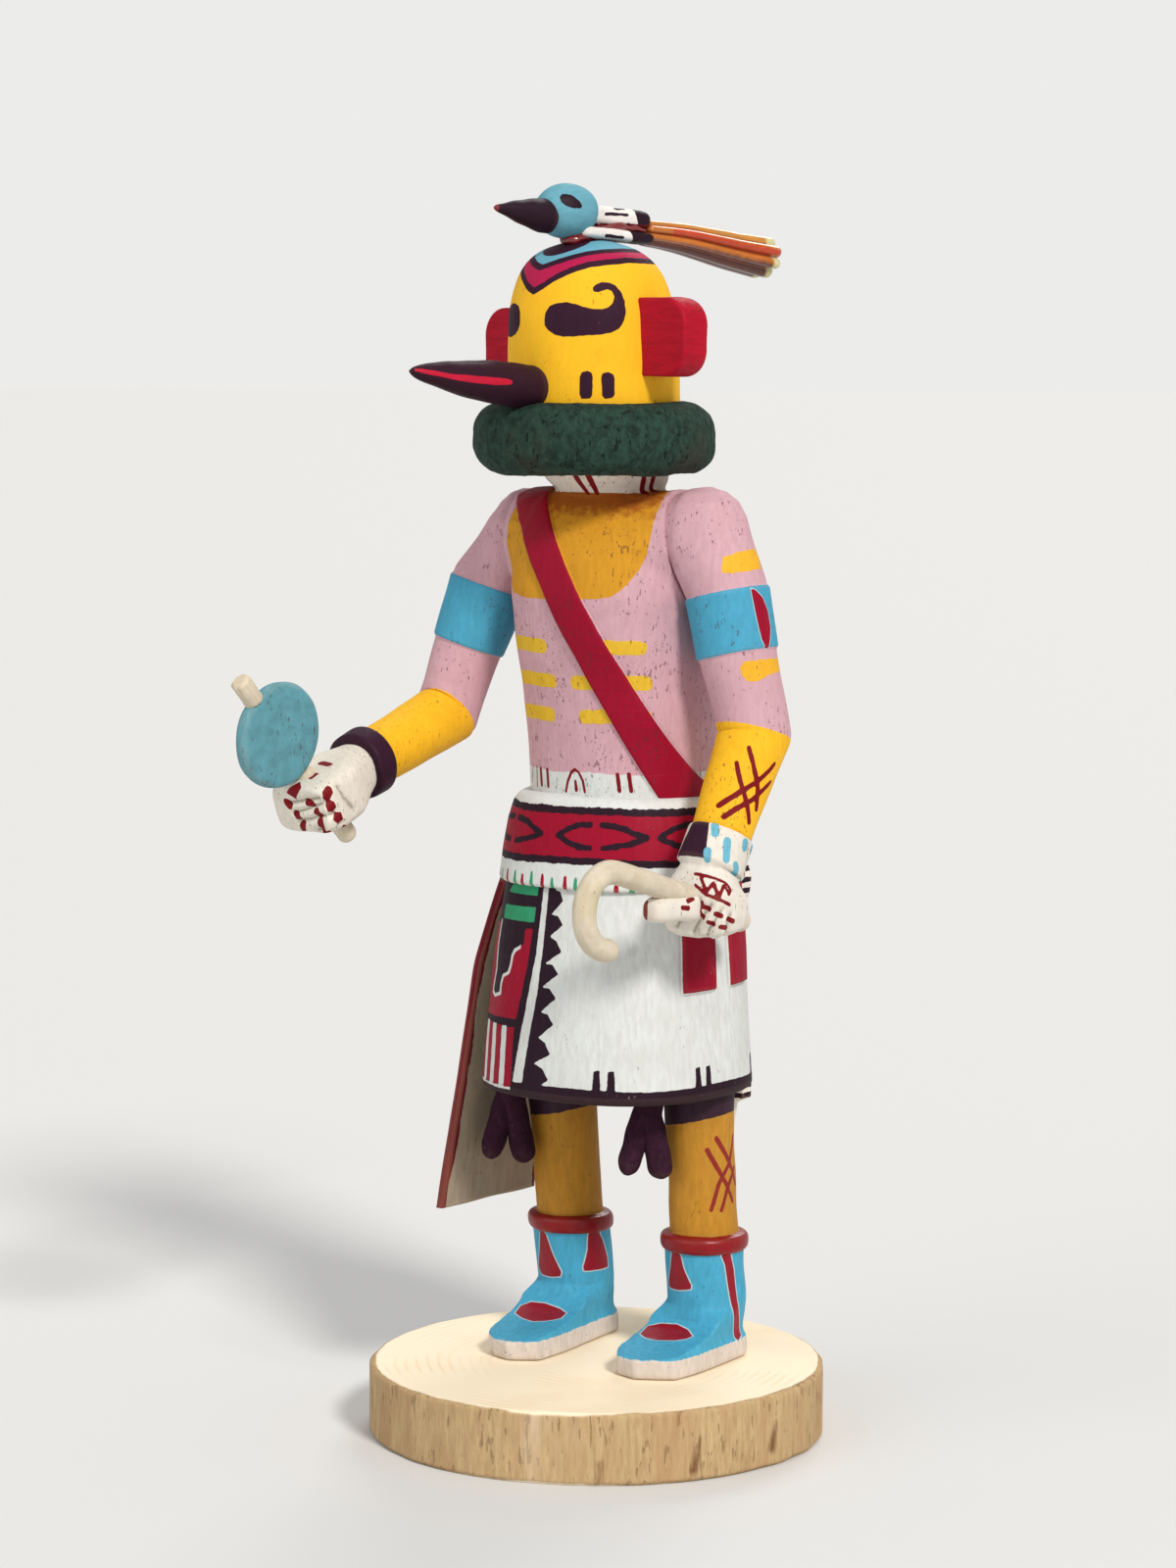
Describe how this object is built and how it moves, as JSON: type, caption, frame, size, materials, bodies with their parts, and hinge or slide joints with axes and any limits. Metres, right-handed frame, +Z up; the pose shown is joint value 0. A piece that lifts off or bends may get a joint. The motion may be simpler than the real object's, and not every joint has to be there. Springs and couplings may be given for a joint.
{
  "type": "carved wooden kachina doll",
  "caption": "Standing painted kachina doll in carved wood on a round wood slice base, with a beaked mask, ruff, kilt, rattle and crook.",
  "frame": {"origin": "centre of the base's underside", "axes": "+Z up, -Y the way the doll looks, +X the doll's left"},
  "size_m": [0.0997, 0.1274, 0.2713],
  "materials": {
    "raw_wood": "raw, sawn",
    "painted_wood": "matt paint on wood, in many colours",
    "dark_green_paint": "rough matt paint",
    "red_paint": "matt paint",
    "aubergine_paint": "matt paint",
    "turquoise_paint": "matt paint",
    "black_paint": "satin paint",
    "white_paint": "matt paint",
    "varnished_feathers": "glossy varnish",
    "pink_paint": "matt paint",
    "cream_paint": "thin matt paint"
  },
  "bodies": {
    "root": {"base": "raw_wood", "body": "painted_wood", "ruff": "dark_green_paint", "ear_left": "red_paint", "ear_right": "red_paint", "mask_beak": "aubergine_paint", "bird_head": "turquoise_paint", "bird_beak": "black_paint", "wing_upper": "white_paint", "wing_lower": "white_paint", "tail_feathers": "varnished_feathers", "arm_left": "pink_paint", "arm_right": "pink_paint", "rattle_gourd": "turquoise_paint", "rattle_peg": "cream_paint", "rattle_handle": "cream_paint", "crook": "cream_paint", "sash_end": "white_paint", "pelt": "white_paint", "knee_tie_left": "aubergine_paint", "knee_tie_right": "aubergine_paint"}
  },
  "joints": []
}
